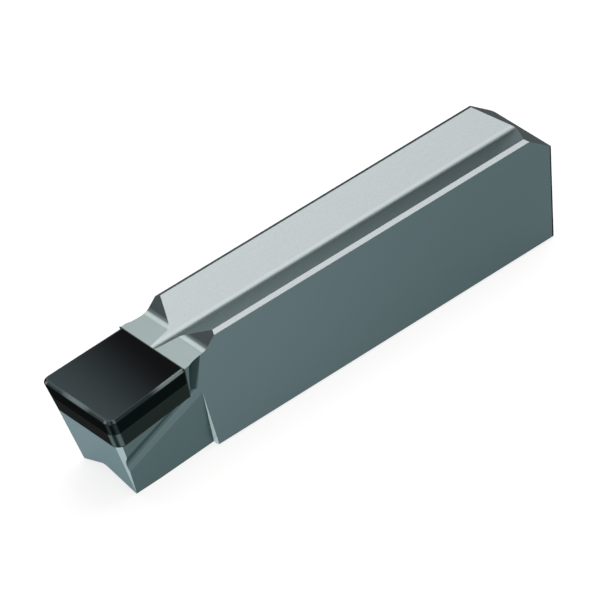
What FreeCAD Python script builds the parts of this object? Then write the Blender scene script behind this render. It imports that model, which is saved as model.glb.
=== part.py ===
import FreeCAD, Part
import math
import os

from FreeCAD import Vector

# Grooving insert: a sintered carbide body with a prism groove along its top and its
# bottom, and a superhard cutting tip brazed into a pocket at its front end.
# Lengths are in millimetres and angles in degrees. X runs from the cutting edge to the
# rear stop face, Y across the width and Z up. The origin is under the middle of the
# insert, at the height of the bottom ridges.

# Overall body
length = 23.2
body_width = 3.33
height = 5.44

# Prism grooves, the same on the top and the bottom
ridge_spacing = 2.936
groove_slope = 27.0
groove_radius = 0.4
ridge_bevel_slope = 25.0

# Rear end
rear_bevel_slope = 37.15
rear_face_height = 4.43
rear_edge_radius = 0.16

# Cutting edge, and the rake face that runs on as the platform behind the tip
cutting_width = 4.0
edge_height = 4.433
rake_angle = 4.64
front_relief = 17.83
side_taper = 2.34
side_relief = 3.48
corner_radius = 0.4
hone_width = 0.125

# Brazed tip and its pocket
pocket_length = 3.97
pocket_depth = 1.54
pocket_wall_lean = 9.9
cutting_layer_thickness = 0.745
braze_film = 0.04

# Carbide head under the tip
carbide_overhang = 0.04
corner_bevel = 0.2
neck_end = 4.88
neck_lean = 9.5
neck_radius = 1.8
head_foot_start = 1.63
head_foot_slope = 24.5
head_foot_radius = 1.4

# Lower relief flanks and the shoulder behind them
flank_half_width = 1.521
flank_relief = 5.43
shoulder_foot = 5.53
shoulder_lean = 12.3

# Ramp from the platform up to the ridges
ramp_top = 5.72
ramp_angle = 46.1
ramp_foot_radius = 0.55

# Values that follow from the sizes above
half_body = body_width / 2
half_ridge = ridge_spacing / 2
half_cut = cutting_width / 2
hone_reach = hone_width * math.tan(math.radians(front_relief))
back_x = length + hone_reach
clear = length


def tan(angle):
    """Tangent of an angle in degrees."""
    return math.tan(math.radians(angle))


def rake_height(x):
    """Height of the rake face at a distance x behind the cutting edge."""
    return edge_height + x * tan(rake_angle)


def side_half_width(x, z):
    """Half the width of the tip at a point of its side."""
    return half_cut - x * tan(side_taper) - (rake_height(x) - z) * tan(side_relief)


def front_x(z):
    """Distance of the tip's front face behind the cutting edge at a height."""
    return (edge_height - z) * tan(front_relief)


def meet(point_a, angle_a, point_b, angle_b):
    """Point where two lines of the XZ plane meet, each given by a point and its slope."""
    ax, az = point_a
    bx, bz = point_b
    dir_a = (math.cos(math.radians(angle_a)), math.sin(math.radians(angle_a)))
    dir_b = (math.cos(math.radians(angle_b)), math.sin(math.radians(angle_b)))
    cross = dir_a[0] * dir_b[1] - dir_a[1] * dir_b[0]
    run = ((bx - ax) * dir_b[1] - (bz - az) * dir_b[0]) / cross
    return ax + run * dir_a[0], az + run * dir_a[1]


def beyond(point, normal):
    """A large block that fills the outer side of the plane through the point."""
    block = Part.makeBox(2 * clear, 2 * clear, clear, Vector(-clear, -clear, 0))
    block.Placement = FreeCAD.Placement(point, FreeCAD.Rotation(Vector(0, 0, 1), normal))
    return block


def mirrored(shape):
    """The same shape on the other side of the insert's middle plane."""
    return shape.mirror(Vector(0, 0, 0), Vector(0, 1, 0))


def line(a, b):
    """A straight edge."""
    return Part.LineSegment(a, b).toShape()


def arc(a, middle, b):
    """An arc edge through its middle point."""
    return Part.Arc(a, middle, b).toShape()


def groove_edges(from_y, at_height, upward):
    """Edges of one prism groove, from the ridge at from_y to the opposite ridge."""
    sign = 1 if upward else -1
    side = 1 if from_y > 0 else -1
    valley = at_height - sign * half_ridge * tan(groove_slope)
    centre_z = valley + sign * groove_radius / math.cos(math.radians(groove_slope))
    touch_y = groove_radius * math.sin(math.radians(groove_slope))
    touch_z = centre_z - sign * groove_radius * math.cos(math.radians(groove_slope))
    start = Vector(0, side * half_ridge, at_height)
    first = Vector(0, side * touch_y, touch_z)
    lowest = Vector(0, 0, centre_z - sign * groove_radius)
    second = Vector(0, -side * touch_y, touch_z)
    end = Vector(0, -side * half_ridge, at_height)
    return [line(start, first), arc(first, lowest, second), line(second, end)]


def bar():
    """The long body blank: one section with a groove above and below."""
    bevel = (half_body - half_ridge) * tan(ridge_bevel_slope)
    right_low = Vector(0, half_body, bevel)
    right_high = Vector(0, half_body, height - bevel)
    left_low = Vector(0, -half_body, bevel)
    left_high = Vector(0, -half_body, height - bevel)
    edges = [line(Vector(0, half_ridge, 0), right_low), line(right_low, right_high)]
    edges.append(line(right_high, Vector(0, half_ridge, height)))
    edges += groove_edges(half_ridge, height, True)
    edges += [line(Vector(0, -half_ridge, height), left_high), line(left_high, left_low)]
    edges.append(line(left_low, Vector(0, -half_ridge, 0)))
    edges += groove_edges(-half_ridge, 0, False)
    return Part.Face(Part.Wire(edges)).extrude(Vector(back_x, 0, 0))


def side_view():
    """The insert's outline seen from the side, with the pocket open and wide in Y."""
    floor_z = rake_height(0) - pocket_depth / math.cos(math.radians(rake_angle))
    wall_top = (pocket_length, rake_height(pocket_length))
    front_low = (front_x(0) + carbide_overhang, 0)
    front_high = meet(front_low, 90 + front_relief, (0, floor_z), rake_angle)
    corner = meet(wall_top, 90 + pocket_wall_lean, (0, floor_z), rake_angle)
    foot = meet((0, edge_height), rake_angle, (ramp_top, height), ramp_angle)
    reach = ramp_foot_radius * tan((ramp_angle - rake_angle) / 2)
    blend = ramp_foot_radius * (1 / math.cos(math.radians((ramp_angle - rake_angle) / 2)) - 1)
    middle_angle = math.radians((ramp_angle + rake_angle) / 2 + 90)

    def at(x, z):
        return Vector(x, -clear, z)

    foot_in = at(foot[0] - reach * math.cos(math.radians(rake_angle)),
                 foot[1] - reach * math.sin(math.radians(rake_angle)))
    foot_out = at(foot[0] + reach * math.cos(math.radians(ramp_angle)),
                  foot[1] + reach * math.sin(math.radians(ramp_angle)))
    foot_middle = at(foot[0] + blend * math.cos(middle_angle), foot[1] + blend * math.sin(middle_angle))
    rear_top = at(back_x - (height - rear_face_height) / tan(rear_bevel_slope), height)
    rear_high = at(back_x, rear_face_height)
    edges = [line(at(*front_low), at(*front_high)), line(at(*front_high), at(*corner))]
    edges += [line(at(*corner), at(*wall_top)), line(at(*wall_top), foot_in)]
    edges += [arc(foot_in, foot_middle, foot_out), line(foot_out, at(ramp_top, height))]
    edges += [line(at(ramp_top, height), rear_top), line(rear_top, rear_high)]
    edges += [line(rear_high, at(back_x, 0)), line(at(back_x, 0), at(*front_low))]
    return Part.Face(Part.Wire(edges)).extrude(Vector(0, 2 * clear, 0))


def rounded_rear():
    """A tall block whose two rear upright edges are rounded."""
    block = Part.makeBox(back_x, body_width, 2 * height, Vector(0, -half_body, -height / 2))
    upright = [edge for edge in block.Edges
               if edge.CenterOfMass.x > back_x - rear_edge_radius and edge.BoundBox.ZLength > height]
    return block.makeFillet(rear_edge_radius, upright)


def land_side():
    """Point and outward normal of the carbide land beside the tip, on the +Y side."""
    point = Vector(0, half_cut - carbide_overhang, edge_height)
    lean = tan(side_relief)
    return point, Vector(tan(side_taper) + tan(rake_angle) * lean, 1, -lean)


def head_pad(outline):
    """The raised head: lands on both sides that run into the body with hollow blends."""
    core = Part.makeBox(clear, ridge_spacing, clear, Vector(0, -half_ridge, 0))
    foot_rise = Vector(math.cos(math.radians(head_foot_slope)), 0, math.sin(math.radians(head_foot_slope)))
    foot_down = Vector(foot_rise.z, 0, -foot_rise.x)
    foot_point = Vector(front_x(head_foot_start), 0, head_foot_start)
    neck_rise = Vector(math.sin(math.radians(neck_lean)), 0, math.cos(math.radians(neck_lean)))
    neck_back = Vector(neck_rise.z, 0, -neck_rise.x)
    neck_point = Vector(neck_end, 0, rake_height(neck_end))
    pad = outline.cut(core).cut(beyond(foot_point, foot_down)).cut(beyond(neck_point, neck_back))
    foot_axis = foot_point + Vector(0, half_body + head_foot_radius, 0) - foot_rise * clear
    neck_axis = neck_point + Vector(0, half_body + neck_radius, 0) - neck_rise * clear
    point, normal = land_side()
    cuts = [beyond(point, normal)]
    cuts.append(Part.makeCylinder(head_foot_radius, 2 * clear, foot_axis, foot_rise))
    cuts.append(Part.makeCylinder(neck_radius, 2 * clear, neck_axis, neck_rise))
    for tool in cuts:
        pad = pad.cut(tool).cut(mirrored(tool))
    return pad


def flank_point():
    """The front bottom corner of the lower relief flank, on the +Y side."""
    rise = (flank_half_width - half_ridge) * tan(ridge_bevel_slope)
    return Vector(front_x(rise) + carbide_overhang, flank_half_width, rise)


def relief_cut():
    """What is ground off beside the lower front of the body, up to the shoulder."""
    flank_normal = Vector(tan(side_taper), 1, -tan(flank_relief))
    shoulder_normal = Vector(math.cos(math.radians(shoulder_lean)), 0, math.sin(math.radians(shoulder_lean)))
    side = beyond(flank_point(), flank_normal)
    return side.cut(beyond(Vector(shoulder_foot, 0, 0), shoulder_normal))


def corner_cut():
    """The bevel on the carbide's front corner, fading out towards the bottom."""
    top_z = edge_height - pocket_depth
    front_at_top = front_x(top_z) + carbide_overhang
    land_y = side_half_width(front_at_top, top_z) - carbide_overhang
    on_front = Vector(front_at_top, land_y - corner_bevel, top_z)
    on_land = Vector(front_at_top + corner_bevel, land_y, top_z)
    low = flank_point()
    normal = (on_land - on_front).cross(low - on_front)
    if normal.y < 0:
        normal = -normal
    return beyond(low, normal)


def insert_body():
    """The one-piece carbide body."""
    outline = side_view()
    body = bar().common(outline).common(rounded_rear())
    relief = relief_cut()
    body = body.cut(relief).cut(mirrored(relief))
    body = body.fuse(head_pad(outline)).removeSplitter()
    corner = corner_cut()
    return body.cut(corner).cut(mirrored(corner))


def tip_outline(depth, inset, back_gap, radius):
    """Closed outline of the tip in a plane parallel to the rake face.

    The depth is measured square to the rake face, inset moves the front and the sides
    inwards, and back_gap keeps the rear edge off the pocket's wall.
    """
    down = depth / math.cos(math.radians(rake_angle))
    front = meet((0, edge_height), 90 + front_relief, (0, edge_height - down), rake_angle)
    wall_top = (pocket_length - back_gap, rake_height(pocket_length - back_gap))
    back = meet(wall_top, 90 + pocket_wall_lean, (0, edge_height - down), rake_angle)
    rise = Vector(math.cos(math.radians(rake_angle)), 0, math.sin(math.radians(rake_angle)))
    start = Vector(front[0], 0, front[1]) + rise * inset
    run = (Vector(back[0], 0, back[1]) - start).Length
    front_half = side_half_width(start.x, start.z) - inset
    back_half = side_half_width(back[0], back[1]) - inset
    taper = math.atan2(front_half - back_half, run)
    touch = radius / math.tan(math.radians(45) - taper / 2)

    def at(along, across):
        return start + rise * along + Vector(0, across, 0)

    def corner(side):
        centre = at(radius, side * (front_half - touch))
        tip = at(0, side * front_half)
        middle = centre + (tip - centre).normalize() * radius
        on_front = at(0, side * (front_half - touch))
        on_side = at(touch * math.cos(taper), side * (front_half - touch * math.sin(taper)))
        return on_front, middle, on_side

    left_front, left_middle, left_side = corner(-1)
    right_front, right_middle, right_side = corner(1)
    left_back, right_back = at(run, -back_half), at(run, back_half)
    edges = [line(left_front, right_front), arc(right_front, right_middle, right_side)]
    edges += [line(right_side, right_back), line(right_back, left_back)]
    edges += [line(left_back, left_side), arc(left_side, left_middle, left_front)]
    return Part.Wire(edges)


def tip_slab(depth_from, depth_to, back_gap):
    """A slice of the tip between two depths below the rake face."""
    wires = [tip_outline(depth, 0, back_gap, corner_radius) for depth in (depth_from, depth_to)]
    return Part.makeLoft(wires, True, True)


def cutting_layer():
    """The thin superhard layer with its honed edge round the front and the sides."""
    honed = [tip_outline(0, hone_width, braze_film, corner_radius - hone_width)]
    honed.append(tip_outline(hone_width, 0, braze_film, corner_radius))
    edge_band = Part.makeLoft(honed, True, True)
    rest = tip_slab(hone_width, cutting_layer_thickness, braze_film)
    return edge_band.fuse(rest).removeSplitter()


def tip_backing():
    """The carbide backing that the superhard layer is sintered on."""
    return tip_slab(cutting_layer_thickness, pocket_depth - braze_film, braze_film)


def braze_layer():
    """The film of braze under the tip and up its rear wall."""
    upward = Vector(-math.sin(math.radians(rake_angle)), 0, math.cos(math.radians(rake_angle)))
    forward = Vector(-math.cos(math.radians(pocket_wall_lean)), 0, -math.sin(math.radians(pocket_wall_lean)))
    above_floor = beyond(Vector(0, 0, edge_height) - upward * (pocket_depth - braze_film), upward)
    wall_x = pocket_length - braze_film
    ahead_of_wall = beyond(Vector(wall_x, 0, rake_height(wall_x)), forward)
    return tip_slab(0, pocket_depth, 0).cut(above_floor.common(ahead_of_wall))


def main():
    """Write one STEP file for each piece."""
    os.makedirs("parts", exist_ok=True)
    pieces = {
        "insert_body": insert_body(),
        "tip_backing": tip_backing(),
        "cutting_layer": cutting_layer(),
        "braze_layer": braze_layer(),
    }
    for name, shape in pieces.items():
        shape.translate(Vector(-hone_reach - length / 2, 0, 0))
        solid = shape.Solids[0] if len(shape.Solids) == 1 else shape
        print(name, len(shape.Solids), "solid", round(solid.Volume, 3), "mm3", solid.isValid())
        solid.exportStep("parts/" + name + ".step")


main()
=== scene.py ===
"""Looks of a grooving insert: a ground carbide body with a brazed superhard cutting tip."""
import logging
import math
from dataclasses import dataclass, field
from enum import Enum
from typing import NamedTuple

import bpy
from mathutils import Matrix, Vector


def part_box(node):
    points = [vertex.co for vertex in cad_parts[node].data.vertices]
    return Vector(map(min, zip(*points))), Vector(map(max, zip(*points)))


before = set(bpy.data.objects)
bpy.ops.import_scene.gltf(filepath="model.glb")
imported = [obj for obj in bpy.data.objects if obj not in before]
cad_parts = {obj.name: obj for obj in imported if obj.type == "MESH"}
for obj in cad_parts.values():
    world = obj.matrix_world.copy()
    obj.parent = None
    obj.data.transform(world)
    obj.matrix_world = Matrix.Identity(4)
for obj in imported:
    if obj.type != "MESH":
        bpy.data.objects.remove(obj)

LOG = logging.getLogger("grooving_insert")
MM = 0.001
NOISE_MEAN = 0.5
Colour = tuple[float, float, float]
Direction = tuple[float, float, float]

# X runs from the cutting edge to the rear stop face, Y across the width and Z up.
REARWARD: Direction = (1.0, 0.0, 0.0)
FORWARD: Direction = (-1.0, 0.0, 0.0)
SIDEWAYS: Direction = (0.0, 1.0, 0.0)
UPWARD: Direction = (0.0, 0.0, 1.0)
DOWNWARD: Direction = (0.0, 0.0, -1.0)
NECK_AXIS: Direction = (0.165, 0.0, 0.986)


class Node(Enum):
    """Nodes of the part that carry a finish."""

    BODY = "insert_body"
    BACKING = "tip_backing"
    CUTTING_LAYER = "cutting_layer"
    BRAZE = "braze_layer"


class Grain(Enum):
    """Direction in which a face was ground, as the stretch of its marks along X, Y and Z."""

    ALONG = (1.0, 30.0, 30.0)
    UPRIGHT = (30.0, 30.0, 2.0)


class Facet(Enum):
    """Normals of the insert's faces. One that leans sideways has a mirror image across Y."""

    RAKE = (-0.081, 0.0, 0.997)
    GROOVE_FLANK = (0.0, 0.454, 0.891)
    RIDGE_BEVEL = (0.0, 0.423, 0.906)
    RAMP_FOOT = (-0.415, 0.0, 0.91)
    RAMP = (-0.721, 0.0, 0.693)
    REAR_BEVEL = (0.604, 0.0, 0.797)
    FRONT = (-0.952, 0.0, -0.306)
    SHOULDER = (-0.977, 0.0, -0.213)
    CORNER_BEVEL = (-0.685, 0.685, -0.249)
    SIDE_RELIEF = (0.041, 0.994, -0.095)
    SIDE_LAND = (0.046, 0.997, -0.061)


class Step(NamedTuple):
    """Where a soft step from 0 to 1 begins and ends."""

    start: float
    end: float


class Level(NamedTuple):
    """The least and the most that a strength comes to."""

    least: float
    most: float


class Streak(NamedTuple):
    """A painted highlight streak round a front corner: its turn from straight ahead, and its strength.
    """

    degrees: float
    strength: float


SIDE_FACES = Step(0.5, 0.7)      # squared share of the normal that points sideways
FRONT_FACE = Step(0.8, 0.9)      # share of the normal that points ahead
ANY_RAY = Step(0.0, 1.0)         # number of the kinds that a ray is of

# Sockets of a Mix node that mixes colours: both inputs, and the output.
FIRST_COLOUR, SECOND_COLOUR, MIXED_COLOUR = 6, 7, 2


class Value:
    """A number socket that takes part in Python expressions."""

    def __init__(self, bench: "Bench", socket: bpy.types.NodeSocket) -> None:
        """Keep the bench that makes nodes and the wrapped output socket."""
        self.bench = bench
        self.socket = socket

    def _math(self, operation: str, *values: object) -> "Value":
        """Value of one Math node.

        Args:
            operation: The node's operation.
            *values: Its inputs, each a number or a Value.

        Returns:
            The node's result.
        """
        inputs = dict(enumerate(values))
        return self.bench.value("ShaderNodeMath", {"operation": operation}, inputs)

    def __add__(self, other: object) -> "Value":
        """Sum."""
        return self._math("ADD", self, other)

    def __sub__(self, other: object) -> "Value":
        """Difference."""
        return self._math("SUBTRACT", self, other)

    def __rsub__(self, other: object) -> "Value":
        """Difference, with the number first."""
        return self._math("SUBTRACT", other, self)

    def __mul__(self, other: object) -> "Value":
        """Product."""
        return self._math("MULTIPLY", self, other)

    __radd__ = __add__
    __rmul__ = __mul__

    def squared(self) -> "Value":
        """The value times itself."""
        return self * self

    def magnitude(self) -> "Value":
        """The value without its sign."""
        return self._math("ABSOLUTE", self)

    def at_least(self, floor: float) -> "Value":
        """The value, or the floor where that is higher."""
        return self._math("MAXIMUM", self, floor)

    def smooth(self, step: Step) -> "Value":
        """A soft step along the value.

        Args:
            step: Where it begins and ends.

        Returns:
            0 before the step, 1 after it and a smooth rise between them.
        """
        settings = {"interpolation_type": "SMOOTHSTEP"}
        inputs = {"Value": self, "From Min": step.start, "From Max": step.end}
        return self.bench.value("ShaderNodeMapRange", settings, inputs)

    def before(self, step: Step) -> "Value":
        """1 before the step and 0 after it."""
        return 1.0 - self.smooth(step)

    def losing(self, loss: float) -> "Value":
        """A factor that is 1 where the mask is 0, and less by the loss where it is 1."""
        return 1.0 - self * loss

    def between(self, level: Level) -> "Value":
        """A mask's strength: the level's least at 0 and its most at 1."""
        return self * (level.most - level.least) + level.least


class Bench:
    """Makes the shader nodes of one material or world."""

    def __init__(self, tree: bpy.types.NodeTree) -> None:
        """Clear the tree and keep it."""
        self.tree = tree
        tree.nodes.clear()

    def node(self, kind: str, settings: dict[str, object],
             inputs: dict[object, object]) -> bpy.types.Node:
        """Make a node.

        Args:
            kind: The node's type.
            settings: Its properties, which are set first.
            inputs: Values or links of its sockets, by name or number.

        Returns:
            The new node.
        """
        made = self.tree.nodes.new(kind)
        for name, setting in settings.items():
            setattr(made, name, setting)
        for key, given in inputs.items():
            socket = made.inputs[key]
            if isinstance(given, Value):
                self.tree.links.new(given.socket, socket)
            elif isinstance(given, bpy.types.NodeSocket):
                self.tree.links.new(given, socket)
            else:
                socket.default_value = given
        return made

    def value(self, kind: str, settings: dict[str, object], inputs: dict[object, object],
              output: int | str = 0) -> Value:
        """Make a node and wrap one of its outputs.

        Args:
            kind: The node's type.
            settings: Its properties.
            inputs: Values or links of its sockets.
            output: The wrapped output's name or number.

        Returns:
            The wrapped output.
        """
        return Value(self, self.node(kind, settings, inputs).outputs[output])

    def mix(self, factor: Value | float, first: object, second: object) -> bpy.types.NodeSocket:
        """Colour between two colours.

        Args:
            factor: Share of the second colour.
            first: Colour at 0.
            second: Colour at 1.

        Returns:
            The mixed colour's socket.
        """
        inputs = {"Factor": factor, FIRST_COLOUR: self.rgba(first), SECOND_COLOUR: self.rgba(second)}
        return self.node("ShaderNodeMix", {"data_type": "RGBA"}, inputs).outputs[MIXED_COLOUR]

    def plain(self, colour: Colour) -> bpy.types.NodeSocket:
        """One colour as a socket."""
        return self.mix(0.0, colour, colour)

    def scaled(self, colour: bpy.types.NodeSocket, shade: Value) -> bpy.types.NodeSocket:
        """Colour made lighter or darker.

        Args:
            colour: The colour.
            shade: What each channel is multiplied by.

        Returns:
            The shaded colour's socket.
        """
        inputs = {0: colour, "Scale": shade}
        return self.node("ShaderNodeVectorMath", {"operation": "SCALE"}, inputs).outputs[0]

    @staticmethod
    def rgba(colour: object) -> object:
        """A plain colour with alpha, or the socket as it is."""
        return (*colour, 1.0) if isinstance(colour, tuple) else colour

    def dot(self, first: object, second: object) -> Value:
        """Dot product of two vectors, each a plain one or a socket."""
        settings = {"operation": "DOT_PRODUCT"}
        return self.value("ShaderNodeVectorMath", settings, {0: first, 1: second}, "Value")

    def length(self, x: Value, y: Value) -> Value:
        """Length of the vector with these two parts."""
        joined = self.node("ShaderNodeCombineXYZ", {}, {"X": x, "Y": y}).outputs[0]
        return self.value("ShaderNodeVectorMath", {"operation": "LENGTH"}, {0: joined}, "Value")


class Surface:
    """The point being shaded: where it lies in the part's frame, and which way its face looks."""

    def __init__(self, bench: Bench) -> None:
        """Read the place and the normal once for the whole material.

        Args:
            bench: The material's bench.
        """
        self.bench = bench
        self.place = bench.node("ShaderNodeTexCoord", {}, {}).outputs["Object"]
        self.normal = bench.node("ShaderNodeNewGeometry", {}, {}).outputs["Normal"]

    def at(self, direction: Direction) -> Value:
        """How far the point lies along a direction."""
        return self.bench.dot(self.place, direction)

    def faces(self, direction: Direction) -> Value:
        """Cosine of the angle between the normal and a direction."""
        return self.bench.dot(self.normal, direction)

    def sides(self) -> Value:
        """1 on the side faces and 0 on the others."""
        return self.faces(SIDEWAYS).squared().smooth(SIDE_FACES)

    def front(self) -> Value:
        """1 on the front face and 0 on the others."""
        return self.faces(FORWARD).smooth(FRONT_FACE)


@dataclass(frozen=True)
class Patch:
    """Faces that look one way and get their own tone, which is painted light and shade."""

    facet: Facet
    colour: Colour
    turn: Step = Step(0.97, 0.995)

    def mask(self, surface: Surface) -> Value:
        """1 on the facet and its mirror image, and 0 elsewhere.

        Args:
            surface: The point being shaded.

        Returns:
            The mask.
        """
        x, y, z = Vector(self.facet.value).normalized()
        mask = surface.faces((x, y, z)).smooth(self.turn)
        if y:
            mask = mask + surface.faces((x, -y, z)).smooth(self.turn)
        return mask


# Painted shade: the rear bevel is painted darker than the sides.
REAR_BEVEL = Patch(Facet.REAR_BEVEL, (0.1, 0.12, 0.123))


@dataclass(frozen=True)
class CornerStreaks:
    """Painted highlights: upright streaks round the front corners, on both sides of the insert."""

    streaks: tuple[Streak, ...]
    threshold: float = 0.905
    softness: Step = Step(0.0, 0.09)
    off_front: Step = Step(0.0, 0.02)
    off_sides: Step = Step(0.004, 0.02)

    def mask(self, surface: Surface) -> Value:
        """1 on the streaks and 0 elsewhere, also on the flat front and sides.

        Args:
            surface: The point being shaded.

        Returns:
            The mask.
        """
        level = 1.0 - surface.faces(UPWARD).squared()
        lines = []
        for streak in self.streaks:
            angle = math.radians(streak.degrees)
            for side in (-1.0, 1.0):
                ahead = surface.faces((-math.cos(angle), side * math.sin(angle), 0.0))
                line = (ahead.squared() - level * self.threshold).smooth(self.softness)
                lines.append(line * streak.strength)
        across = surface.faces(SIDEWAYS).squared().smooth(self.off_front)
        along = surface.faces(REARWARD).squared().smooth(self.off_sides)
        return sum(lines) * across * along


@dataclass(frozen=True)
class GroundFinish:
    """Ground metal or superhard surface: fine marks, fine grain, edges partly worn and partly painted
    highlight.
    """

    name: str
    colour: Colour
    # Edge colour: partly wear and partly painted highlight on the sharp edges.
    edge: Colour
    patches: tuple[Patch, ...] = ()
    roughness: float = 0.38
    metallic: float = 1.0
    index: float = 1.45
    grazing: Colour = (0.35, 0.43, 0.43)
    grain: Grain = Grain.ALONG
    mark_scale: float = 900.0
    mark_detail: float = 4.0
    mark_roughness: float = 0.6
    speck_scale: float = 14000.0
    speck_detail: float = 2.0
    speck_height: float = 0.5
    variation: float = 0.12
    rough_variation: float = 0.12
    bump: float = 0.05
    bump_depth: float = 0.004 * MM
    edge_radius: float = 0.03 * MM
    edge_samples: int = 6
    edge_turn: Step = Step(0.01, 0.2)
    edge_wear_and_highlight: float = 0.5

    def marks(self, surface: Surface) -> Value:
        """Grinding marks, stretched along the grain.

        Args:
            surface: The point being shaded.

        Returns:
            The marks, which swing about 0.
        """
        bench = surface.bench
        inputs = {"Vector": surface.place, "Scale": self.grain.value}
        stretched = bench.node("ShaderNodeMapping", {}, inputs).outputs[0]
        return bench.value("ShaderNodeTexNoise", {}, {
            "Vector": stretched, "Scale": self.mark_scale, "Detail": self.mark_detail,
            "Roughness": self.mark_roughness}) - NOISE_MEAN

    def specks(self, surface: Surface) -> Value:
        """Fine grain of the sintered structure, which swings about 0."""
        inputs = {"Vector": surface.place, "Scale": self.speck_scale, "Detail": self.speck_detail}
        return surface.bench.value("ShaderNodeTexNoise", {}, inputs) - NOISE_MEAN

    def rounded(self, surface: Surface) -> bpy.types.NodeSocket:
        """The normal with its sharp edges rounded."""
        settings = {"samples": self.edge_samples}
        return surface.bench.node("ShaderNodeBevel", settings, {"Radius": self.edge_radius}).outputs[0]

    def worn_and_lit_edge(self, surface: Surface) -> Value:
        """1 on the sharp edges, which are painted paler, and 0 on the open faces."""
        bent = surface.bench.dot(self.rounded(surface), surface.normal)
        return (1.0 - bent).smooth(self.edge_turn)

    def tone(self, surface: Surface) -> bpy.types.NodeSocket:
        """Colour before marks and edges: the plain tone with its patches of painted light and shade.

        Args:
            surface: The point being shaded.

        Returns:
            The colour's socket.
        """
        colour = surface.bench.plain(self.colour)
        for patch in self.patches:
            colour = surface.bench.mix(patch.mask(surface), colour, patch.colour)
        return colour

    def base(self, surface: Surface) -> bpy.types.NodeSocket:
        """The surface colour, with its marks and paler edges, partly wear and partly painted
        highlight.

        Args:
            surface: The point being shaded.

        Returns:
            The colour's socket.
        """
        shade = 1.0 + (self.marks(surface) + self.specks(surface)) * self.variation
        varied = surface.bench.scaled(self.tone(surface), shade)
        # Sharp edges are painted paler: partly wear and partly painted highlight.
        return surface.bench.mix(self.worn_and_lit_edge(surface) * self.edge_wear_and_highlight, varied, self.edge)

    def shine(self, surface: Surface) -> Value | float:
        """How metallic the surface is."""
        return self.metallic

    def rough(self, surface: Surface) -> Value:
        """How rough the surface is."""
        return self.roughness + self.marks(surface) * self.rough_variation

    def material(self) -> bpy.types.Material:
        """The finished material.

        Returns:
            A material ready for its node.
        """
        material = bpy.data.materials.new(self.name)
        material.use_nodes = True
        bench = Bench(material.node_tree)
        surface = Surface(bench)
        height = self.marks(surface) + self.specks(surface) * self.speck_height
        bumped = bench.node("ShaderNodeBump", {}, {
            "Strength": self.bump, "Distance": self.bump_depth, "Height": height,
            "Normal": self.rounded(surface)}).outputs[0]
        shader = bench.node("ShaderNodeBsdfPrincipled", {}, {
            "Base Color": self.base(surface), "Metallic": self.shine(surface),
            "Roughness": self.rough(surface), "IOR": self.index,
            "Specular Tint": bench.rgba(self.grazing), "Normal": bumped})
        bench.node("ShaderNodeOutputMaterial", {}, {"Surface": shader.outputs[0]})
        return material


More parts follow.
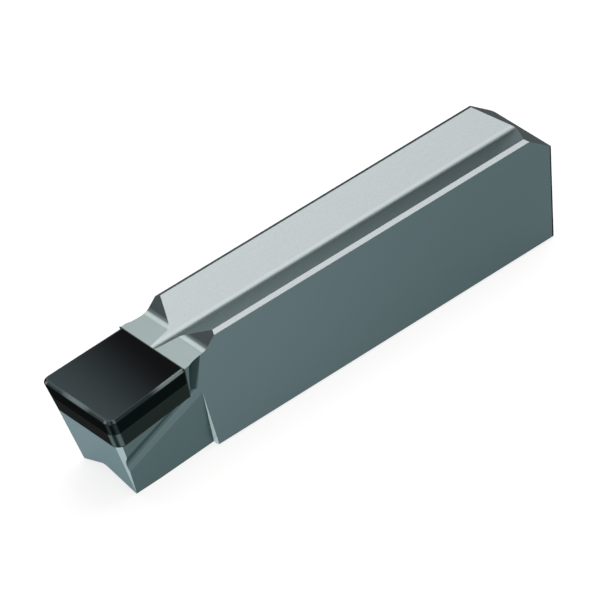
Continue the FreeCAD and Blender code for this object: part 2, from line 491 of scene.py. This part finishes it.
@dataclass(frozen=True)
class CarbideFinish(GroundFinish):
    """Ground carbide, with painted shade in the head's hollow blends and painted light and shade on
    facets.

    A loss is the share of the tone that a place lacks, and a gain is what it has more. A turn
    is read off the normal, and a reach off the place.
    """

    # Painted shade in the neck and the foot blend, and painted light in the crease.
    neck_loss: float = 0.7
    neck_turn: Step = Step(0.0, 0.075)
    neck_slant: Step = Step(0.0005, 0.002)
    foot_loss: float = 0.53
    foot_turn: Step = Step(0.02, 0.15)
    crease_gain: float = 0.3
    crease_turn: Step = Step(0.19, 0.24)
    # Painted light on the near groove flank, stronger towards the front.
    near_gain: float = 0.45
    near_loss: float = 0.07
    near_turn: Step = Step(0.95, 0.99)
    near_reach: Step = Step(-8.0 * MM, 9.0 * MM)
    near_grain: float = 0.35
    flank_start: Step = Step(0.1, 0.15)
    flank_end: Step = Step(0.3, 0.4)
    flank_grain: float = 0.14
    # Painted shade on the outer bevel of the far side.
    far_bevel_loss: float = 0.6
    far_bevel_turn: Step = Step(0.97, 0.995)
    far_bevel_reach: Step = Step(0.0, 0.5 * MM)
    # Painted shade: sides darker towards the rear, and the rear upright edges near black.
    rear_loss: float = 0.18
    rear_reach: Step = Step(-8.0 * MM, 10.0 * MM)
    rear_edge_loss: float = 0.97
    rear_edge_turn: Step = Step(0.02, 0.12)
    rear_edge_side: Step = Step(0.3, 0.45)
    rear_edge_width: float = 0.22 * MM
    rear_edge_full: float = 0.16 * MM
    bevel_roughness: float = 0.5
    # Painted highlight: the shoulder is matt and near white.
    shoulder: Patch = Patch(Facet.SHOULDER, (0.8, 1.0, 1.0), Step(0.9965, 0.9985))

    def blends(self, surface: Surface) -> Value:
        """Painted shade of the neck and of the hollow blend under the head, and painted light in the
        crease.

        Args:
            surface: The point being shaded.

        Returns:
            What the tone is multiplied by.
        """
        sides, down = surface.sides(), surface.faces(DOWNWARD)
        neck = surface.faces(REARWARD).smooth(self.neck_turn) * sides
        neck = neck * surface.faces(NECK_AXIS).squared().before(self.neck_slant)
        foot = down.smooth(self.foot_turn) * sides
        crease = down.smooth(self.crease_turn) * sides
        lifted = 1.0 + crease * self.crease_gain
        return neck.losing(self.neck_loss) * foot.losing(self.foot_loss) * lifted

    def near_flank(self, surface: Surface) -> Value:
        """1 on the groove flank that leans towards positive Y."""
        return surface.faces(Facet.GROOVE_FLANK.value).smooth(self.near_turn)

    def ridges(self, surface: Surface) -> Value:
        """Painted light and shade: the near groove flank lighter at the front, the far outer bevel
        darker.

        Args:
            surface: The point being shaded.

        Returns:
            What the tone is multiplied by.
        """
        ahead = surface.at(REARWARD).before(self.near_reach)
        near = 1.0 + self.near_flank(surface) * (ahead * self.near_gain - self.near_loss)
        far_bevel = surface.faces(Facet.RIDGE_BEVEL.value).smooth(self.far_bevel_turn)
        far_bevel = far_bevel * surface.at(SIDEWAYS).smooth(self.far_bevel_reach)
        return near * far_bevel.losing(self.far_bevel_loss)

    def rear(self, surface: Surface) -> Value:
        """Painted shade of the sides towards the rear, and near black painted on the upright edges
        there.

        Args:
            surface: The point being shaded.

        Returns:
            What the tone is multiplied by.
        """
        last_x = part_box(Node.BODY.value)[1].x
        last = Step(last_x - self.rear_edge_width, last_x - self.rear_edge_full)
        edge = surface.faces(REARWARD).smooth(self.rear_edge_turn) * surface.at(REARWARD).smooth(last)
        edge = edge * surface.faces(SIDEWAYS).squared().smooth(self.rear_edge_side)
        far = surface.at(REARWARD).smooth(self.rear_reach) * surface.sides()
        return edge.losing(self.rear_edge_loss) * far.losing(self.rear_loss)

    def flank_texture(self, surface: Surface) -> Value:
        """Extra marks and grain on the flanks of the grooves.

        Args:
            surface: The point being shaded.

        Returns:
            What the tone is multiplied by.
        """
        across = surface.faces(SIDEWAYS).squared()
        flanks = across.smooth(self.flank_start) * across.before(self.flank_end)
        specks = self.specks(surface)
        both = (self.marks(surface) + specks) * flanks * self.flank_grain
        return 1.0 + both + specks * self.near_flank(surface) * self.near_grain

    def tone(self, surface: Surface) -> bpy.types.NodeSocket:
        """The ground tone with painted light and shade in the blends, on the ridges and towards the
        rear.

        Args:
            surface: The point being shaded.

        Returns:
            The colour's socket.
        """
        shade = self.blends(surface) * self.ridges(surface)
        shade = shade * self.rear(surface) * self.flank_texture(surface)
        tone = surface.bench.scaled(super().tone(surface), shade)
        # Painted highlight on the matt shoulder.
        return surface.bench.mix(self.shoulder.mask(surface), tone, self.shoulder.colour)

    def shine(self, surface: Surface) -> Value | float:
        """Metallic, apart from the matt shoulder, which carries a painted highlight."""
        return 1.0 - self.shoulder.mask(surface)

    def rough(self, surface: Surface) -> Value:
        """Coarser on the rear bevel."""
        return super().rough(surface) + REAR_BEVEL.mask(surface) * self.bevel_roughness


@dataclass(frozen=True)
class LayerFinish(GroundFinish):
    """The superhard layer, with a painted sheen towards the rake's edge and painted glints on its hone
    in places.

    A turn is read off the normal, and a reach off the place. The middle's reach is of the
    squared distance from the middle plane.
    """

    # Painted sheen: the rake face is painted paler towards the cutting edge.
    rake_sheen: Colour = (0.031, 0.042, 0.045)
    rake_turn: Step = Step(0.97, 0.99)
    sheen_reach: Step = Step(-0.5 * MM, 3.8 * MM)
    sheen_skew: float = 0.15
    half_width: float = 2.0 * MM
    side_taper: float = 0.0409
    corner_radius: float = 0.4 * MM
    # The band along the honed edge is a painted highlight.
    band_turn: Step = Step(0.35, 0.6)
    band_start: Step = Step(0.02 * MM, 0.05 * MM)
    band_end: Step = Step(0.135 * MM, 0.175 * MM)
    band_widening: float = 0.045 * MM
    band_rake_loss: float = 0.72
    glint: Colour = (0.345, 0.426, 0.437)
    front_reach: Step = Step(0.25 * MM, 0.4 * MM)
    middle_reach: Step = Step(0.0, 0.8 * MM * MM)
    middle_glint: Level = Level(0.17, 0.69)
    side_reach: Step = Step(2.1 * MM, 2.95 * MM)
    side_glint: Level = Level(0.12, 1.0)
    corner_turn: Step = Step(0.002, 0.02)
    corner_loss: float = 0.85
    # Painted highlights: spots on the hone and upright streaks round the front corners.
    spots: CornerStreaks = CornerStreaks((Streak(12.0, 0.9), Streak(79.0, 1.0)))
    streaks: CornerStreaks = CornerStreaks((Streak(28.0, 1.0), Streak(76.0, 0.52)))
    streak: Colour = (0.052, 0.06, 0.063)
    front_sheen: float = 0.025
    side_sheen: float = 0.007

    def behind(self, surface: Surface) -> Value:
        """Distance behind the cutting edge."""
        return surface.at(REARWARD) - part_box(Node.CUTTING_LAYER.value)[0].x

    def inside(self, surface: Surface) -> Value:
        """Distance inside the tip's outline, across the front, the sides and the corners.

        Args:
            surface: The point being shaded.

        Returns:
            The distance, no more than the corner radius.
        """
        behind = self.behind(surface)
        beside = self.half_width - behind * self.side_taper - surface.at(SIDEWAYS).magnitude()
        ahead, aside = ((self.corner_radius - depth).at_least(0.0) for depth in (behind, beside))
        return self.corner_radius - surface.bench.length(ahead, aside)

    def upturned(self, surface: Surface) -> Value:
        """1 on the rake face and the hone, and 0 on the sides and the front."""
        return surface.faces(Facet.RAKE.value).smooth(self.band_turn)

    def band(self, surface: Surface) -> Value:
        """The painted highlight band along the honed edge, which is wider at the front.

        Args:
            surface: The point being shaded.

        Returns:
            1 on the band and 0 elsewhere.
        """
        inside = self.inside(surface)
        ahead = (self.corner_radius - self.behind(surface)).smooth(Step(0.0, self.corner_radius))
        inner = (inside - ahead * self.band_widening).before(self.band_end)
        return self.upturned(surface) * inside.smooth(self.band_start) * inner

    def glints(self, surface: Surface) -> Value:
        """Strength of the painted highlight along its way: the middle of the front, the sides and the
        spots.

        Args:
            surface: The point being shaded.

        Returns:
            The strength, from 0 to 1.
        """
        behind = self.behind(surface)
        front = behind.before(self.front_reach)
        middle = surface.at(SIDEWAYS).squared().before(self.middle_reach).between(self.middle_glint)
        side = behind.smooth(self.side_reach).between(self.side_glint)
        turned = surface.faces(REARWARD) * surface.faces(SIDEWAYS)
        corner = turned.squared().smooth(self.corner_turn).losing(self.corner_loss)
        plain = (front * middle + (1.0 - front) * side) * corner
        spot = self.spots.mask(surface)
        return spot + (1.0 - spot) * plain

    def tone(self, surface: Surface) -> bpy.types.NodeSocket:
        """Black sides, a painted sheen that pales the rake face forwards, and painted streaks and
        glints.

        Args:
            surface: The point being shaded.

        Returns:
            The colour's socket.
        """
        bench = surface.bench
        flat = surface.faces(Facet.RAKE.value).smooth(self.rake_turn)
        skewed = self.behind(surface) - surface.at(SIDEWAYS) * self.sheen_skew
        pale = skewed.before(self.sheen_reach) * flat
        colour = bench.mix(pale, super().tone(surface), self.rake_sheen)
        upright = self.streaks.mask(surface) * (1.0 - self.upturned(surface))
        colour = bench.mix(upright, colour, self.streak)
        bright = self.band(surface) * self.glints(surface) * flat.losing(self.band_rake_loss)
        return bench.mix(bright, colour, self.glint)

    def shine(self, surface: Surface) -> Value | float:
        """Less of a mirror sheen on the front face, and a little more on the sides."""
        return self.metallic + surface.front() * self.front_sheen - surface.sides() * self.side_sheen


@dataclass(frozen=True)
class BackingFinish(GroundFinish):
    """The dark carbide backing, with painted highlight streaks round its corners."""

    # Painted highlight streaks round the corners, and their colour.
    streaks: CornerStreaks = CornerStreaks((Streak(22.0, 0.82), Streak(70.0, 0.55)))
    streak: Colour = (0.17, 0.24, 0.235)
    front_sheen: float = 0.02

    def tone(self, surface: Surface) -> bpy.types.NodeSocket:
        """The dark tone with its painted highlight streaks round the corners."""
        return surface.bench.mix(self.streaks.mask(surface), super().tone(surface), self.streak)

    def shine(self, surface: Surface) -> Value | float:
        """A little more sheen on the front face."""
        return self.metallic - surface.front() * self.front_sheen


def carbide() -> CarbideFinish:
    """Finish of the carbide body, with the tone of each ground facet painted to its light and shade.

    Returns:
        The finish.
    """
    # Each facet's tone paints the light and shade that the facet gets.
    crest = (0.245, 0.28, 0.29)
    return CarbideFinish(
        name="ground_carbide", colour=(0.12, 0.172, 0.181), edge=(0.26, 0.3, 0.31),
        edge_radius=0.015 * MM, variation=0.06,
        patches=(
            Patch(Facet.RAKE, (0.22, 0.275, 0.275), Step(0.85, 0.93)),
            Patch(Facet.GROOVE_FLANK, crest, Step(0.9, 0.97)),
            Patch(Facet.RIDGE_BEVEL, crest),
            Patch(Facet.RAMP_FOOT, (0.46, 0.56, 0.565), Step(0.965, 1.0)),
            Patch(Facet.RAMP, (0.1, 0.125, 0.13), Step(0.93, 0.99)),
            REAR_BEVEL,
            Patch(Facet.FRONT, (0.29, 0.375, 0.405)),
            Patch(Facet.CORNER_BEVEL, (0.4, 0.51, 0.53), Step(0.98, 0.995)),
            Patch(Facet.SIDE_RELIEF, (0.171, 0.247, 0.258), Step(0.996, 0.9995)),
            Patch(Facet.SIDE_LAND, (0.111, 0.161, 0.161), Step(0.9992, 0.9998)),
        ))


def superhard() -> LayerFinish:
    """Finish of the superhard layer.

    Returns:
        The finish.
    """
    return LayerFinish(
        name="superhard_black", colour=(0.006, 0.0132, 0.0132), edge=(0.01, 0.012, 0.012),
        patches=(Patch(Facet.RAKE, (0.005, 0.0054, 0.0057)),), metallic=0.95,
        grazing=(0.03, 0.03, 0.03), roughness=0.35, grain=Grain.UPRIGHT, edge_radius=0.015 * MM)


def backing_carbide() -> BackingFinish:
    """Finish of the tip's carbide backing.

    Returns:
        The finish.
    """
    return BackingFinish(
        name="backing_carbide", colour=(0.027, 0.037, 0.034), edge=(0.03, 0.035, 0.035),
        metallic=0.95, grazing=(0.03, 0.03, 0.03), roughness=0.45, grain=Grain.UPRIGHT,
        edge_radius=0.015 * MM)


def braze_metal() -> GroundFinish:
    """Finish of the braze film.

    Returns:
        The finish.
    """
    return GroundFinish(
        name="braze_metal", colour=(0.04, 0.045, 0.042), edge=(0.05, 0.055, 0.05),
        roughness=0.5, edge_radius=0.01 * MM)


@dataclass
class InsertBody:
    """The ground carbide body."""

    finish: GroundFinish = field(default_factory=carbide)

    def dress(self) -> None:
        """Put the ground carbide on the body's node."""
        dress(Node.BODY, self.finish.material())


@dataclass
class BrazedTip:
    """The superhard layer, its carbide backing and the braze film."""

    layer: GroundFinish = field(default_factory=superhard)
    backing: GroundFinish = field(default_factory=backing_carbide)
    braze: GroundFinish = field(default_factory=braze_metal)

    def dress(self) -> None:
        """Put each finish of the tip on its node."""
        dress(Node.CUTTING_LAYER, self.layer.material())
        dress(Node.BACKING, self.backing.material())
        dress(Node.BRAZE, self.braze.material())


def dress(node: Node, material: bpy.types.Material) -> None:
    """Give a node its material.

    Args:
        node: The node.
        material: Its finish.
    """
    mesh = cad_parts[node.value].data
    mesh.materials.clear()
    mesh.materials.append(material)
    LOG.info("%s wears %s", node.value, material.name)


@dataclass(frozen=True)
class Softbox:
    """A soft square lamp that faces the insert."""

    name: str
    towards: Direction
    size: float
    radiance: float
    distance: float = 0.2
    colour: Colour = (1.0, 0.94, 0.93)

    def build(self) -> None:
        """Make the lamp in its place."""
        data = bpy.data.lights.new(self.name, "AREA")
        data.shape = "SQUARE"
        data.color = self.colour
        data.size = self.size
        data.energy = self.radiance * math.pi * self.size ** 2
        lamp = bpy.data.objects.new(self.name, data)
        towards = Vector(self.towards).normalized()
        lamp.location = towards * self.distance
        lamp.rotation_euler = towards.to_track_quat("Z", "Y").to_euler()
        bpy.context.scene.collection.objects.link(lamp)


@dataclass
class Studio:
    """Pale floor, soft overhead light and the camera at the photograph's angle.

    Angles are in degrees. The lens and the sensor are in millimetres, and all else in metres.
    """

    floor_reach: float = 0.9
    rim_height: float = 0.15
    floor_colour: Colour = (0.3, 0.3, 0.3)
    floor_lift: float = 0.76
    world_colour: Colour = (1.0, 1.0, 1.0)
    world_level: float = 0.3
    azimuth: float = -40.394
    elevation: float = 38.802
    roll: float = -3.481
    distance: float = 261.35 * MM
    lens: float = 411.24
    sensor_width: float = 36.0
    nearest: float = 0.01
    aim: Vector = field(default_factory=lambda: Vector((-0.9735, 0.0, 2.5333)) * MM)
    aim_right: float = 0.496 * MM
    aim_up: float = 0.496 * MM
    lamps: tuple[Softbox, ...] = (
        Softbox("overhead", (0.3, 0.12, 0.95), 0.22, 2.8),
        Softbox("front_top", (-0.42, 0.6, 0.68), 0.07, 2.6),
        Softbox("front_fill", (-0.8, -0.5, 0.33), 0.13, 3.5),
    )

    def camera(self) -> None:
        """Place the camera and make it the scene's own."""
        turn, rise, roll = (math.radians(a) for a in (self.azimuth, self.elevation, self.roll))
        back = Vector((math.sin(turn) * math.cos(rise), -math.cos(turn) * math.cos(rise),
                       math.sin(rise)))
        level = Vector((math.cos(turn), math.sin(turn), 0.0))
        upright = back.cross(level)
        right = math.cos(roll) * level + math.sin(roll) * upright
        up = math.cos(roll) * upright - math.sin(roll) * level
        eye = self.aim + right * self.aim_right + up * self.aim_up + back * self.distance
        data = bpy.data.cameras.new("camera")
        data.sensor_width = self.sensor_width
        data.lens = self.lens
        data.clip_start = self.nearest
        camera = bpy.data.objects.new("camera", data)
        camera.matrix_world = Matrix.Translation(eye) @ Matrix((right, up, back)).transposed().to_4x4()
        bpy.context.scene.collection.objects.link(camera)
        bpy.context.scene.camera = camera

    def seen(self, bench: Bench) -> Value:
        """Whether a ray shows the background: from the camera, off gloss or through glass.

        Args:
            bench: The floor material's bench.

        Returns:
            1 for such rays and 0 for the others.
        """
        path = bench.node("ShaderNodeLightPath", {}, {}).outputs
        seen = Value(bench, path["Is Camera Ray"]) + Value(bench, path["Is Glossy Ray"])
        return (seen + Value(bench, path["Is Transmission Ray"])).smooth(ANY_RAY)

    def world(self) -> None:
        """A plain world that lights softly from all sides."""
        world = bpy.data.worlds.new("studio")
        bpy.context.scene.world = world
        world.use_nodes = True
        bench = Bench(world.node_tree)
        inputs = {"Color": bench.rgba(self.world_colour), "Strength": self.world_level}
        sky = bench.node("ShaderNodeBackground", {}, inputs)
        bench.node("ShaderNodeOutputWorld", {}, {"Surface": sky.outputs[0]})

    def floor_material(self) -> bpy.types.Material:
        """White that keeps the insert's shadow and throws little light back on it.

        Returns:
            The floor's material.
        """
        material = bpy.data.materials.new("floor_white")
        material.use_nodes = True
        bench = Bench(material.node_tree)
        matt = bench.node("ShaderNodeBsdfDiffuse", {}, {"Color": bench.rgba(self.floor_colour)})
        lift = bench.node("ShaderNodeEmission", {}, {"Strength": self.seen(bench) * self.floor_lift})
        both = bench.node("ShaderNodeAddShader", {}, {0: matt.outputs[0], 1: lift.outputs[0]})
        bench.node("ShaderNodeOutputMaterial", {}, {"Surface": both.outputs[0]})
        return material

    def floor(self) -> None:
        """A pale floor with a low rim far away, so that level views show white too."""
        reach = self.floor_reach
        corner_points = [(-reach, -reach), (reach, -reach), (reach, reach), (-reach, reach)]
        points = [(x, y, z) for z in (0.0, self.rim_height) for x, y in corner_points]
        count = len(corner_points)
        ground = tuple(range(count))
        pairs = zip(ground, (*ground[1:], ground[0]))
        rim = [(first, second, second + count, first + count) for first, second in pairs]
        mesh = bpy.data.meshes.new("floor")
        mesh.from_pydata(points, [], [ground, *rim])
        floor = bpy.data.objects.new("floor", mesh)
        bpy.context.scene.collection.objects.link(floor)
        mesh.materials.append(self.floor_material())

    def build(self) -> None:
        """Build the whole studio."""
        self.world()
        self.floor()
        for lamp in self.lamps:
            lamp.build()
        self.camera()
        bpy.context.scene.view_settings.view_transform = "Standard"


def main() -> None:
    """Dress the insert and build its studio."""
    logging.basicConfig(level=logging.INFO, format="%(message)s")
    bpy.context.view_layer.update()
    InsertBody().dress()
    BrazedTip().dress()
    Studio().build()


if __name__ == "__main__":
    main()
